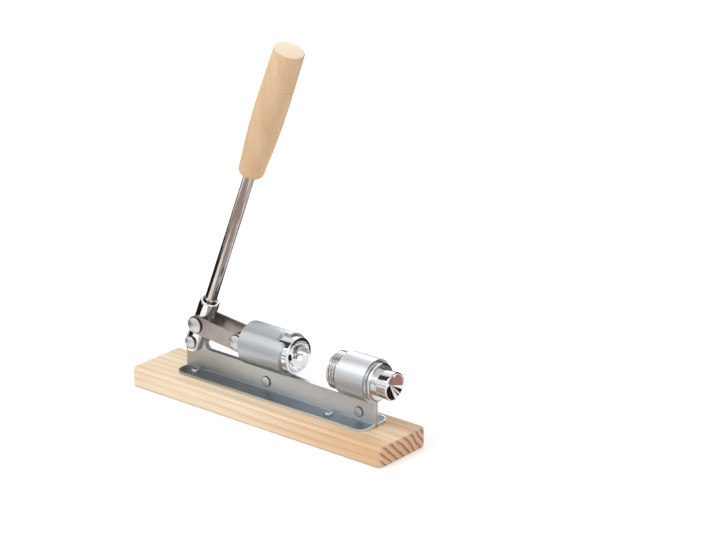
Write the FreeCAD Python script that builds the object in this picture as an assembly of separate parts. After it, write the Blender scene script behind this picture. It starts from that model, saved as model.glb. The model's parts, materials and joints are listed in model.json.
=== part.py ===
import FreeCAD, Part
import math
import os

V = FreeCAD.Vector
X = V(1, 0, 0)
Y = V(0, 1, 0)
Z = V(0, 0, 1)

# Lever nutcracker press, in millimetres.
# The origin is the middle of the board's underside, +Z is up, +X points to the adjuster knob,
# and the lever side is the rear.

# Board
board_length = 242.6
board_width = 53.0
board_height = 16.0
board_edge_radius = 2.0
board_corner_radius = 4.0

# Folded sheet frame: two feet, a doubled web, two sleeves and a tang
sheet = 2.0
web_seam = 0.3
frame_rear = -88.4
frame_front = 94.5
frame_middle_y = 2.5
foot_half_width = 14.5
foot_corner_radius = 8.0
bend_radius = 1.5
web_top = 34.4
axis_height = 52.0
sleeve_bore = 29.0
rear_sleeve_start = -24.5
rear_sleeve_length = 39.8
front_sleeve_length = 25.5
rim_notch_width = 9.0
rim_notch_depth = 7.2
rim_notch_corner = 2.5
rim_notch_angle = 23.0
tang_radius = 9.3
tang_fillet = 4.5

# Web rivets
rivet_shank = 4.0
rivet_head = 8.2
rivet_head_height = 1.0
rivet_head_round = 0.5
web_rivet_height = 25.0
web_rivet_places = {"middle": -8.8, "front": 80.0}

# Wood screws in the feet
screw_places = {"rear": -75.0, "front": 56.0}
screw_offset = 8.0
screw_shank = 3.4
screw_head = 6.6
screw_head_height = 2.0
screw_head_round = 1.2
screw_depth = 10.0
screw_point_length = 3.4
screw_point = 0.4
screw_hole_clearance = 0.4
screw_cross_reach = 2.0
screw_cross_width = 0.9
screw_cross_depth = 0.8

# Lever
lever_lean = 21.0
pivot_x = -79.0
pivot_height = 40.0
crank = 17.2
pin = 5.0
pin_head = 13.0
pivot_pin_head = 10.2
pin_head_rim = 1.0
pin_head_dome = 1.7
running_fit = 0.05
side_play = 0.15
clevis_body = 15.2
clevis_rim_chamfer = 0.6
clevis_mouth = 12.3
clevis_height = 37.8
clevis_mouth_depth = 5.0
clevis_slot_height = 31.0
rod = 9.0
rod_start = 22.5
rod_in_grip = 60.0
rod_chamfer = 0.5
grip_start = 153.4
grip_length = 108.5
grip_bottom = 19.4
grip_lower = 22.8
grip_middle = 24.4
grip_upper = 24.2
grip_top = 23.2
grip_edge = 1.4
grip_end_round = 4.2
grip_line_below_top = 30.0
grip_line_width = 0.8
grip_line_depth = 0.35

# Links
link_length = 41.6
link_width = 14.0
link_thickness = 1.5

# Ram
ram_rest_front = 21.0
ram_length = 37.0
sliding_fit = 0.1
ram_cup_mouth = 24.4
ram_cup_depth = 9.0
rim_edge = 0.6
tail_half_height = 7.0
tail_hole = 8.2
tail_hole_back = 0.6
tail_hole_drop = 1.25

# Anvil barrel, stud and knob
anvil_rear = 58.7
anvil_length = 40.8
anvil_rim_length = 2.6
anvil_rim_chamfer = 1.0
thread_pitch = 2.5
thread_depth = 0.9
thread_crest = 0.5
thread_lead_in = 1.2
anvil_cup_mouth = 24.4
anvil_cup_depth = 8.0
stud = 6.0
stud_in_anvil = 12.0
stud_in_knob = 5.5
stud_end_gap = 0.5
knob_length = 12.0
knob_root = 20.2
knob_end = 21.7
knob_recess_mouth = 19.0
knob_recess_depth = 4.7
knob_edge = 0.4

# Cutters run this far past the faces that they cut, and equal lengths differ by less than a hair
overrun = 1.0
hair = 0.01

# Sizes that follow from the ones above
foot_top = board_height + sheet
web_face = web_seam / 2 + sheet
sleeve_inner_radius = sleeve_bore / 2
sleeve_outer_radius = sleeve_inner_radius + sheet
front_sleeve_start = frame_front - front_sleeve_length
slot_half = web_face + side_play
cheek_face = clevis_body / 2
link_inner_face = cheek_face + side_play
link_outer_face = link_inner_face + link_thickness
sliding_radius = sleeve_inner_radius - sliding_fit
lever_turn = math.radians(lever_lean)
link_pin_x = pivot_x + crank * math.sin(lever_turn)
link_pin_height = pivot_height + crank * math.cos(lever_turn)
link_slope = math.asin((link_pin_height - axis_height) / link_length)
ram_pin_x = link_pin_x + link_length * math.cos(link_slope)


def polygon_face(points):
    return Part.Face(Part.makePolygon(points + [points[0]]))


def box(x0, x1, y0, y1, z0, z1):
    return Part.makeBox(x1 - x0, y1 - y0, z1 - z0, V(x0, y0, z0))


def rod_along(axis, start, radius, length):
    return Part.makeCylinder(radius, length, start, axis)


def turned_along_x(profile, x0):
    """Turn a closed list of (along, radius) points about the sleeve axis."""
    points = [V(x0 + along, 0, axis_height + radius) for along, radius in profile]
    face = polygon_face(points)
    solid = face.revolve(V(0, 0, axis_height), X, 360)
    return in_frame_plane(solid)


def in_frame_plane(shape):
    """Shift a shape made about y = 0 to the plane of the frame."""
    moved = shape.copy()
    moved.translate(V(0, frame_middle_y, 0))
    return moved


def on_lever(shape):
    """Lean a shape made upright over the pivot, and set it on the pivot."""
    moved = shape.copy()
    moved.rotate(V(0, 0, 0), Y, lever_lean)
    moved.translate(V(pivot_x, 0, pivot_height))
    return in_frame_plane(moved)


def on_link(shape):
    """Slope a shape made along +X from the link pin, and set it on that pin."""
    moved = shape.copy()
    moved.rotate(V(0, 0, 0), Y, math.degrees(link_slope))
    moved.translate(V(link_pin_x, 0, link_pin_height))
    return in_frame_plane(moved)


def mirrored(shape):
    return shape.mirror(V(0, 0, 0), Y)


def arc(centre, radius, start, end, plane):
    """Edge from the angle start to end, in degrees, in the plane "yz" or "xz"."""
    def at(angle):
        turn = math.radians(angle)
        across = radius * math.cos(turn)
        up = radius * math.sin(turn)
        if plane == "yz":
            return V(centre[0], centre[1] + across, centre[2] + up)
        return V(centre[0] + across, centre[1], centre[2] + up)
    middle = (start + end) / 2
    return Part.Arc(at(start), at(middle), at(end)).toShape()


def closed_face(edges):
    """Face of a ring of arcs, with straight runs put in between them."""
    ring = []
    for index, edge in enumerate(edges):
        ring.append(edge)
        here = edge.lastVertex(True).Point
        there = edges[(index + 1) % len(edges)].firstVertex(True).Point
        if here.distanceToPoint(there) > 1e-6:
            ring.append(Part.makeLine(here, there))
    return Part.Face(Part.Wire(ring))


# Board with eased edges and pilot holes
def base_board():
    half_length = board_length / 2
    half_width = board_width / 2
    board = box(-half_length, half_length, -half_width, half_width, 0, board_height)
    upright = [e for e in board.Edges if e.Length < board_height + hair]
    board = board.makeFillet(board_corner_radius, upright)
    flat = [e for e in board.Edges if e.BoundBox.ZLength < hair]
    board = board.makeFillet(board_edge_radius, flat)
    for x, y in screw_points():
        hole = rod_along(Z, V(x, y, board_height - screw_depth), screw_shank / 2, screw_depth)
        board = board.cut(hole)
    return board


def screw_points():
    sides = (frame_middle_y - screw_offset, frame_middle_y + screw_offset)
    return [(x, y) for x in screw_places.values() for y in sides]


# One half of the folded sheet, cut across the press
def foot_and_web_half(x, web_end_height):
    bend_centre_y = web_face + bend_radius
    bend_centre_z = foot_top + bend_radius
    outer_bend = bend_radius + sheet
    edges = [
        arc((x, bend_centre_y, bend_centre_z), bend_radius, 270, 180, "yz"),
        Part.makeLine(V(x, web_face, web_end_height), V(x, web_seam / 2, web_end_height)),
        arc((x, bend_centre_y, bend_centre_z), outer_bend, 180, 270, "yz"),
        Part.makeLine(V(x, foot_half_width, board_height), V(x, foot_half_width, foot_top)),
    ]
    return closed_face(edges)


# The same half where the sheet goes on up and round into a sleeve
def sleeve_half(x):
    bend_centre_y = web_face + bend_radius
    bend_centre_z = foot_top + bend_radius
    outer_bend = bend_radius + sheet
    crease_reach = sleeve_outer_radius + bend_radius
    crease_centre_z = axis_height - math.sqrt(crease_reach ** 2 - bend_centre_y ** 2)
    crease_angle = math.degrees(math.atan2(axis_height - crease_centre_z, -bend_centre_y))
    seam_angle = -math.degrees(math.acos(web_seam / 2 / sleeve_inner_radius))
    ring_centre = (x, 0, axis_height)
    edges = [
        arc((x, bend_centre_y, bend_centre_z), bend_radius, 270, 180, "yz"),
        arc((x, bend_centre_y, crease_centre_z), bend_radius, 180, crease_angle, "yz"),
        arc(ring_centre, sleeve_outer_radius, crease_angle - 180, 90, "yz"),
        arc(ring_centre, sleeve_inner_radius, 90, seam_angle, "yz"),
        arc((x, bend_centre_y, bend_centre_z), outer_bend, 180, 270, "yz"),
        Part.makeLine(V(x, foot_half_width, board_height), V(x, foot_half_width, foot_top)),
    ]
    return closed_face(edges)


# Side outline of feet, web and tang
def side_outline():
    tang_front = pivot_x + tang_radius
    reach = foot_half_width + overrun
    edges = [
        Part.makeLine(V(frame_rear, -reach, board_height), V(frame_rear, -reach, pivot_height)),
        arc((pivot_x, -reach, pivot_height), tang_radius, 180, 0, "xz"),
        arc((tang_front + tang_fillet, -reach, web_top + tang_fillet), tang_fillet, 180, 270, "xz"),
        Part.makeLine(V(frame_front, -reach, web_top), V(frame_front, -reach, board_height)),
    ]
    return closed_face(edges).extrude(V(0, 2 * reach, 0))


# Plan outline of the feet, with rounded corners
def plan_outline():
    plan = box(frame_rear, frame_front, -foot_half_width, foot_half_width,
               board_height, axis_height + 2 * sleeve_outer_radius)
    corners = [e for e in plan.Edges if abs(e.tangentAt(e.FirstParameter).z) > 1 - hair]
    return plan.makeFillet(foot_corner_radius, corners)


def sleeve(start, length):
    half = sleeve_half(start).extrude(V(length, 0, 0))
    return half.fuse(mirrored(half))


def press_frame():
    tang_top = pivot_height + tang_radius + overrun
    half = foot_and_web_half(frame_rear, tang_top).extrude(V(frame_front - frame_rear, 0, 0))
    plates = half.fuse(mirrored(half)).common(side_outline()).common(plan_outline())
    sleeves = sleeve(rear_sleeve_start, rear_sleeve_length)
    sleeves = sleeves.fuse(sleeve(front_sleeve_start, front_sleeve_length))
    trim = plan_outline().fuse(
        box(frame_rear, frame_front, -board_width, board_width, web_top, 2 * axis_height))
    frame = plates.fuse(sleeves.common(trim)).removeSplitter()
    frame = frame.cut(rim_notch())
    frame = frame.cut(rod_along(Y, V(pivot_x, -board_width, pivot_height), pin / 2, 2 * board_width))
    for x in web_rivet_places.values():
        hole = rod_along(Y, V(x, -board_width, web_rivet_height), rivet_shank / 2, 2 * board_width)
        frame = frame.cut(hole)
    frame = in_frame_plane(frame)
    for x, y in screw_points():
        hole_radius = screw_shank / 2 + screw_hole_clearance
        start = V(x, y, board_height - overrun)
        frame = frame.cut(rod_along(Z, start, hole_radius, sheet + 2 * overrun))
    return frame


# Notch with round corners in the front rim of the rear sleeve, above the ram
def rim_notch():
    front = rear_sleeve_start + rear_sleeve_length
    rear = front - rim_notch_depth
    half = rim_notch_width / 2
    cutter = box(rear, front + rim_notch_corner, -half, half, axis_height, axis_height + sleeve_bore)
    corners = [e for e in cutter.Edges if e.BoundBox.XMax < rear + hair and e.BoundBox.YLength < hair]
    cutter = cutter.makeFillet(rim_notch_corner, corners)
    cutter.rotate(V(0, 0, axis_height), X, rim_notch_angle)
    return cutter


# Rivet through the doubled web, with a low flat head on each side
def web_rivet(x):
    shank = rod_along(Y, V(x, -web_face, web_rivet_height), rivet_shank / 2, 2 * web_face)
    head_radius = rivet_head / 2
    head = rod_along(Y, V(x, web_face, web_rivet_height), head_radius, rivet_head_height)
    rims = [e for e in head.Edges if e.Closed and e.BoundBox.YMin > web_face + rivet_head_height / 2]
    head = head.makeFillet(rivet_head_round, rims)
    return in_frame_plane(shank.fuse([head, mirrored(head)]).removeSplitter())


# Pan head wood screw with a cross recess
def foot_screw(x, y):
    head = Part.makeCylinder(screw_head / 2, screw_head_height, V(x, y, foot_top), Z)
    rims = [e for e in head.Edges if e.Closed and e.BoundBox.ZMin > foot_top + screw_head_height / 2]
    head = head.makeFillet(screw_head_round, rims)
    top = foot_top + screw_head_height
    half = screw_cross_width / 2
    bottom = top - screw_cross_depth
    for along, across in ((screw_cross_reach, half), (half, screw_cross_reach)):
        head = head.cut(box(x - along, x + along, y - across, y + across, bottom, top + overrun))
    tip_height = board_height - screw_depth
    shank_start = tip_height + screw_point_length
    shank = rod_along(Z, V(x, y, shank_start), screw_shank / 2, foot_top - shank_start)
    point = Part.makeCone(screw_point / 2, screw_shank / 2, screw_point_length, V(x, y, tip_height), Z)
    return head.fuse([shank, point]).removeSplitter()


# Domed pin head standing on a face at the distance y from the middle plane
def pin_head_at(y, head):
    half = head / 2
    rim = rod_along(Y, V(0, y, 0), half, pin_head_rim)
    ball_radius = (half ** 2 + pin_head_dome ** 2) / (2 * pin_head_dome)
    ball_centre = y + pin_head_rim + pin_head_dome - ball_radius
    ball = Part.makeSphere(ball_radius, V(0, ball_centre, 0))
    room = rod_along(Y, V(0, y + pin_head_rim, 0), half, pin_head_dome + overrun)
    return rim.fuse(ball.common(room))


# Pin with a domed head outside each of the faces that it holds together
def headed_pin(face, head):
    dome = pin_head_at(face + side_play, head)
    shank_half = face + side_play
    shank = rod_along(Y, V(0, -shank_half, 0), pin / 2, 2 * shank_half)
    return shank.fuse([dome, mirrored(dome)]).removeSplitter()


# Clevis: a turned socket for the rod, slotted to straddle the tang
def lever_clevis():
    body_radius = clevis_body / 2
    profile = [
        V(0, 0, -body_radius),
        V(body_radius, 0, -body_radius),
        V(body_radius, 0, clevis_height - clevis_rim_chamfer),
        V(body_radius - clevis_rim_chamfer, 0, clevis_height),
        V(clevis_mouth / 2, 0, clevis_height),
        V(rod / 2, 0, clevis_height - clevis_mouth_depth),
        V(rod / 2, 0, rod_start - overrun),
        V(0, 0, rod_start - overrun),
    ]
    clevis = polygon_face(profile).revolve(V(0, 0, 0), Z, 360)
    outline = rod_along(Y, V(0, -clevis_body, 0), body_radius, 2 * clevis_body)
    above = box(-clevis_body, clevis_body, -clevis_body, clevis_body, 0, clevis_height + overrun)
    clevis = clevis.common(outline.fuse(above))
    slot = box(-clevis_body, clevis_body, -slot_half, slot_half, -clevis_body, clevis_slot_height)
    clevis = clevis.cut(slot)
    pivot_hole = rod_along(Y, V(0, -clevis_body, 0), pin / 2 + running_fit, 2 * clevis_body)
    link_hole = rod_along(Y, V(0, -clevis_body, crank), pin / 2, 2 * clevis_body)
    return on_lever(clevis.cut(pivot_hole).cut(link_hole))


def lever_rod():
    length = grip_start + rod_in_grip - rod_start
    bar = rod_along(Z, V(0, 0, rod_start), rod / 2, length)
    ends = [e for e in bar.Edges if e.Closed]
    return on_lever(bar.makeChamfer(rod_chamfer, ends))


# Turned wooden grip, swelling towards the top, with a scribed line round it
def lever_grip():
    top = grip_start + grip_length
    line_height = top - grip_line_below_top
    middle_height = grip_start + grip_length / 2
    bottom_height = grip_start + grip_end_round
    crown_height = top - grip_edge
    sides = Part.BSplineCurve()
    sides.interpolate([
        V(grip_bottom / 2, 0, bottom_height),
        V(grip_lower / 2, 0, (bottom_height + middle_height) / 2),
        V(grip_middle / 2, 0, middle_height),
        V(grip_upper / 2, 0, (middle_height + crown_height) / 2),
        V(grip_top / 2, 0, crown_height),
    ])
    crown = arc((grip_top / 2 - grip_edge, 0, crown_height), grip_edge, 0, 90, "xz")
    round_centre = (grip_bottom / 2 - grip_end_round, 0, bottom_height)
    edges = [
        sides.toShape(),
        crown,
        Part.makeLine(V(grip_top / 2 - grip_edge, 0, top), V(0, 0, top)),
        Part.makeLine(V(0, 0, top), V(0, 0, grip_start)),
        Part.makeLine(V(0, 0, grip_start), V(round_centre[0], 0, grip_start)),
        arc(round_centre, grip_end_round, 270, 360, "xz"),
    ]
    grip = Part.Face(Part.Wire(edges)).revolve(V(0, 0, 0), Z, 360)
    line_radius = grip_top / 2 - grip_line_depth
    ring = Part.makeCylinder(grip_top, grip_line_width, V(0, 0, line_height - grip_line_width / 2), Z)
    ring = ring.cut(Part.makeCylinder(line_radius, grip_length, V(0, 0, grip_start), Z))
    bore = Part.makeCylinder(rod / 2, rod_in_grip, V(0, 0, grip_start), Z)
    return on_lever(grip.cut(ring).cut(bore))


# Flat link with round ends, on one side of the clevis and the ram tail
def link(side):
    inner = link_inner_face
    half = link_width / 2
    bar = box(0, link_length, inner, link_outer_face, -half, half)
    ends = [rod_along(Y, V(x, inner, 0), half, link_thickness) for x in (0, link_length)]
    bar = bar.fuse(ends).removeSplitter()
    lever_hole = rod_along(Y, V(0, 0, 0), pin / 2 + running_fit, 2 * link_outer_face)
    ram_hole = rod_along(Y, V(link_length, 0, 0), pin / 2, 2 * link_outer_face)
    bar = bar.cut(lever_hole).cut(ram_hole)
    if side == "right":
        bar = mirrored(bar)
    return on_link(bar)


# Ball that cuts a cup into a rim at x, with the mouth facing along the given way
def cup_ball(x, mouth, depth, way):
    radius = ((mouth / 2) ** 2 + depth ** 2) / (2 * depth)
    centre = V(x + way * (radius - depth), 0, axis_height)
    return in_frame_plane(Part.makeSphere(radius, centre))


# Ram: a cupped piston with a flat tail between the links
def ram():
    radius = sliding_radius
    start = ram_rest_front - ram_length
    piston = turned_along_x([
        (0, 0),
        (0, radius - rim_edge),
        (rim_edge, radius),
        (ram_length - rim_edge, radius),
        (ram_length, radius - rim_edge),
        (ram_length, 0),
    ], start)
    piston = piston.cut(cup_ball(ram_rest_front, ram_cup_mouth, ram_cup_depth, 1))
    tail = box(ram_pin_x, start + overrun, -cheek_face + side_play, cheek_face - side_play,
               axis_height - tail_half_height, axis_height + tail_half_height)
    tail_end = rod_along(Y, V(ram_pin_x, -cheek_face + side_play, axis_height),
                         tail_half_height, 2 * (cheek_face - side_play))
    tail = in_frame_plane(tail.fuse(tail_end))
    hole_centre = V(ram_pin_x - tail_hole_back, frame_middle_y - cheek_face,
                    axis_height - tail_hole_drop)
    hole = rod_along(Y, hole_centre, tail_hole / 2, clevis_body)
    return piston.fuse(tail).removeSplitter().cut(hole)


# Anvil barrel: threaded outside, cupped towards the ram
def anvil_barrel():
    radius = sliding_radius
    groove = radius - thread_depth
    flank = (thread_pitch - thread_crest) / 2
    profile = [
        (0, 0),
        (0, groove),
    ]
    thread_end = anvil_length - anvil_rim_length
    turns = int((thread_end - thread_lead_in) / thread_pitch)
    for turn in range(turns):
        foot = thread_lead_in + turn * thread_pitch
        profile.append((foot, groove))
        profile.append((foot + flank, radius))
        profile.append((foot + flank + thread_crest, radius))
    profile += [
        (thread_lead_in + turns * thread_pitch, groove),
        (thread_end, groove),
        (thread_end, radius),
        (anvil_length - anvil_rim_chamfer, radius),
        (anvil_length, radius - anvil_rim_chamfer),
        (anvil_length, 0),
    ]
    barrel = turned_along_x(profile, anvil_rear)
    barrel = barrel.cut(cup_ball(anvil_rear, anvil_cup_mouth, anvil_cup_depth, -1))
    return barrel.cut(stud_bore())


def stud_bore():
    start = anvil_rear + anvil_length - stud_in_anvil - stud_end_gap
    length = stud_in_anvil + stud_in_knob + 2 * stud_end_gap
    radius = stud / 2 + running_fit
    return in_frame_plane(rod_along(X, V(start, 0, axis_height), radius, length))


def adjuster_stud():
    start = anvil_rear + anvil_length - stud_in_anvil
    length = stud_in_anvil + stud_in_knob
    return in_frame_plane(rod_along(X, V(start, 0, axis_height), stud / 2, length))


# Knob: a short flared stub with a cone sunk in its end
def adjuster_knob():
    end = knob_end / 2
    profile = [
        (0, 0),
        (0, knob_root / 2),
        (knob_length - knob_edge, end),
        (knob_length, end - knob_edge),
        (knob_length, knob_recess_mouth / 2),
        (knob_length - knob_recess_depth, 0),
    ]
    return turned_along_x(profile, anvil_rear + anvil_length).cut(stud_bore())


def build():
    nodes = {
        "base_board": base_board(),
        "press_frame": press_frame(),
        "pivot_rivet": on_lever(headed_pin(cheek_face, pivot_pin_head)),
        "lever_clevis": lever_clevis(),
        "lever_rod": lever_rod(),
        "lever_grip": lever_grip(),
        "link_rivet": on_link(headed_pin(link_outer_face, pin_head)),
        "link_left": link("left"),
        "link_right": link("right"),
        "ram": ram(),
        "anvil_barrel": anvil_barrel(),
        "adjuster_stud": adjuster_stud(),
        "adjuster_knob": adjuster_knob(),
    }
    ram_rivet = headed_pin(link_outer_face, pin_head)
    ram_rivet.translate(V(link_length, 0, 0))
    nodes["ram_rivet"] = on_link(ram_rivet)
    for name, x in web_rivet_places.items():
        nodes["web_rivet_" + name] = web_rivet(x)
    for end, x in screw_places.items():
        for side, offset in (("right", -screw_offset), ("left", screw_offset)):
            nodes["foot_screw_" + end + "_" + side] = foot_screw(x, frame_middle_y + offset)
    return nodes


os.makedirs("parts", exist_ok=True)
for name, shape in build().items():
    shape.exportStep("parts/" + name + ".step")
    print(name, "valid", shape.isValid(), "solids", len(shape.Solids), "volume", round(shape.Volume, 1))
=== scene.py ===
import json
import math

import bmesh
import bpy
from mathutils import Matrix, Vector


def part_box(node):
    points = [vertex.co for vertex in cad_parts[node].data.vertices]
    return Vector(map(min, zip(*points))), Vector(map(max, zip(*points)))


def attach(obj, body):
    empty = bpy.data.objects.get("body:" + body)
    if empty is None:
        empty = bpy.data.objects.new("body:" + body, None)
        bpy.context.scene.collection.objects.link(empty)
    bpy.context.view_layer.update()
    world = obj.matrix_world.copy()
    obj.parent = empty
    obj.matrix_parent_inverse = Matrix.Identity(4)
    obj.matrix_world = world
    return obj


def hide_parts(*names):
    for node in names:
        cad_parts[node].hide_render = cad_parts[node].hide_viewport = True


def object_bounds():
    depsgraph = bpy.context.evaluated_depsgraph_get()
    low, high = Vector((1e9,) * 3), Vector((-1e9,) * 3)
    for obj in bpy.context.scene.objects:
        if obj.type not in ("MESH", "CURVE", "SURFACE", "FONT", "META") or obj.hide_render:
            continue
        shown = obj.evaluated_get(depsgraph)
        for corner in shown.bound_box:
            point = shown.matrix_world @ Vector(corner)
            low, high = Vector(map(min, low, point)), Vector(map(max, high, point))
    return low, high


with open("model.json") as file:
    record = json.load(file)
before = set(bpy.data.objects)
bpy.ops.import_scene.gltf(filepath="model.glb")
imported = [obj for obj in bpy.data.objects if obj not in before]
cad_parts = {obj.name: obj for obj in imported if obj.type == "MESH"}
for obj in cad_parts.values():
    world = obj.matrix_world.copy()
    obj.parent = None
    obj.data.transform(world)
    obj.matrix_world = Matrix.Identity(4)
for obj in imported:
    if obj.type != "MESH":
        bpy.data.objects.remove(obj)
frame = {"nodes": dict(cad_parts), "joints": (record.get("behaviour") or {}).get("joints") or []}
cad_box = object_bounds()


# Camera
# It stands to the right of the press and looks down its length from the adjuster knob.
camera_azimuth = math.radians(39.428)
camera_elevation = math.radians(20.577)
camera_right_shift = 0.061235
camera_rise = 0.107616
origin_shift = Vector((0.001, -0.001, 0.001))
camera_distance = 2.2
sensor_width = 36
camera_lens = 149.06
camera_clip_end = 20

right = Vector((math.cos(camera_azimuth), math.sin(camera_azimuth), 0))
back = Vector((math.sin(camera_azimuth) * math.cos(camera_elevation),
               -math.cos(camera_azimuth) * math.cos(camera_elevation),
               math.sin(camera_elevation)))
up = back.cross(right)
camera = bpy.data.objects.new("camera", bpy.data.cameras.new("camera"))
camera.data.sensor_width = sensor_width
camera.data.lens = camera_lens
camera.data.clip_end = camera_clip_end
camera.location = right * camera_right_shift + up * camera_rise + back * camera_distance + origin_shift
camera.rotation_euler = (math.pi / 2 - camera_elevation, 0, camera_azimuth)
bpy.context.collection.objects.link(camera)
bpy.context.scene.camera = camera
bpy.context.scene.view_settings.view_transform = "Standard"


# Floor and backdrop
# A white sweep under even light. The floor shows white to the camera and in polished
# metal, and keeps a soft shadow of the press.
floor_size = 8.0
floor_cells = 4
floor_lift = 0.36
lift_start = 0.4
lift_end = 1.6
backdrop_glow = 1.0
fill_glow = 0.55
paper_mottle = 3.0
paper_low = 0.86
paper_high = 0.88
paper_roughness = 0.9
paper_gloss = 0.1


def colour(red, green, blue):
    """Shader colour of a tone given as screen values from 0 to 255."""
    def linear(value):
        share = value / 255
        return share / 12.92 if share <= 0.04045 else ((share + 0.055) / 1.055) ** 2.4
    return (linear(red), linear(green), linear(blue), 1)


def add_node(tree, kind, inputs=None, **settings):
    """Put a node in a tree, with its settings and the values of its sockets."""
    node = tree.nodes.new(kind)
    for key, value in settings.items():
        setattr(node, key, value)
    for key, value in (inputs or {}).items():
        if isinstance(value, bpy.types.NodeSocket):
            tree.links.new(value, node.inputs[key])
        else:
            node.inputs[key].default_value = value
    return node


def calculate(tree, operation, first, second=0):
    """Value worked out from one or two others."""
    return add_node(tree, "ShaderNodeMath", {0: first, 1: second}, operation=operation).outputs[0]


def spread(tree, value, low, high, start=0.0, end=1.0, kind="LINEAR"):
    """Value stretched from low and high to start and end."""
    return add_node(tree, "ShaderNodeMapRange", {"Value": value, "From Min": low, "From Max": high,
                    "To Min": start, "To Max": end}, interpolation_type=kind).outputs[0]


def object_coordinates(tree):
    """Coordinates in an object's own space."""
    return add_node(tree, "ShaderNodeTexCoord").outputs["Object"]


def vector_length(tree, vector):
    """Length of a vector."""
    return add_node(tree, "ShaderNodeVectorMath", {0: vector}, operation="LENGTH").outputs["Value"]


def seen_directly(tree):
    """1 for what the camera, a reflection or a clear body sees, 0 for light on the object."""
    path = add_node(tree, "ShaderNodeLightPath").outputs
    either = calculate(tree, "MAXIMUM", path["Is Camera Ray"], path["Is Glossy Ray"])
    return calculate(tree, "MAXIMUM", either, path["Is Transmission Ray"])


world = bpy.data.worlds.new("studio")
world.use_nodes = True
bpy.context.scene.world = world
air = world.node_tree
strength = spread(air, seen_directly(air), 0, 1, fill_glow, backdrop_glow)
air.nodes["Background"].inputs["Color"].default_value = (1, 1, 1, 1)
air.links.new(strength, air.nodes["Background"].inputs["Strength"])

sweep = bpy.data.materials.new("white_sweep")
sweep.use_nodes = True
paper = sweep.node_tree
mottle = add_node(paper, "ShaderNodeTexNoise", {"Scale": paper_mottle, "Detail": 2.0}).outputs["Fac"]
paper_shader = paper.nodes["Principled BSDF"]
paper.links.new(spread(paper, mottle, 0, 1, paper_low, paper_high), paper_shader.inputs["Base Color"])
paper_shader.inputs["Roughness"].default_value = paper_roughness
paper_shader.inputs["Specular IOR Level"].default_value = paper_gloss
paper_shader.inputs["Emission Color"].default_value = (1, 1, 1, 1)
# The floor's own light rises to the backdrop's with the distance from the press
paper_reach = vector_length(paper, object_coordinates(paper))
paper_lift = spread(paper, paper_reach, lift_start, lift_end, floor_lift, backdrop_glow)
paper_glow = calculate(paper, "MULTIPLY", seen_directly(paper), paper_lift)
paper.links.new(paper_glow, paper_shader.inputs["Emission Strength"])

floor_shape = bmesh.new()
bmesh.ops.create_grid(floor_shape, x_segments=floor_cells, y_segments=floor_cells, size=floor_size / 2)
floor_mesh = bpy.data.meshes.new("floor")
floor_shape.to_mesh(floor_mesh)
floor_shape.free()
floor_mesh.materials.append(sweep)
floor = bpy.data.objects.new("floor", floor_mesh)
bpy.context.collection.objects.link(floor)


# Lamps
# Two large soft boxes in front and one behind, as round a packshot table. All of them
# point at a place just above the sleeves.
soft_boxes = (
    ("key_lamp", (-0.50, -1.00, 1.50), 0.9, 14.0),
    ("side_lamp", (1.35, -0.75, 0.75), 0.7, 5.0),
    ("rear_lamp", (-0.7, 1.2, 0.9), 0.7, 4.0),
)
lamp_aim = Vector((0, 0, 0.08))
for name, spot, size, watts in soft_boxes:
    lamp = bpy.data.objects.new(name, bpy.data.lights.new(name, "AREA"))
    lamp.data.shape = "SQUARE"
    lamp.data.size = size
    lamp.data.energy = watts
    lamp.location = spot
    lamp.rotation_euler = (lamp_aim - lamp.location).to_track_quat("-Z", "Y").to_euler()
    bpy.context.collection.objects.link(lamp)


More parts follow.
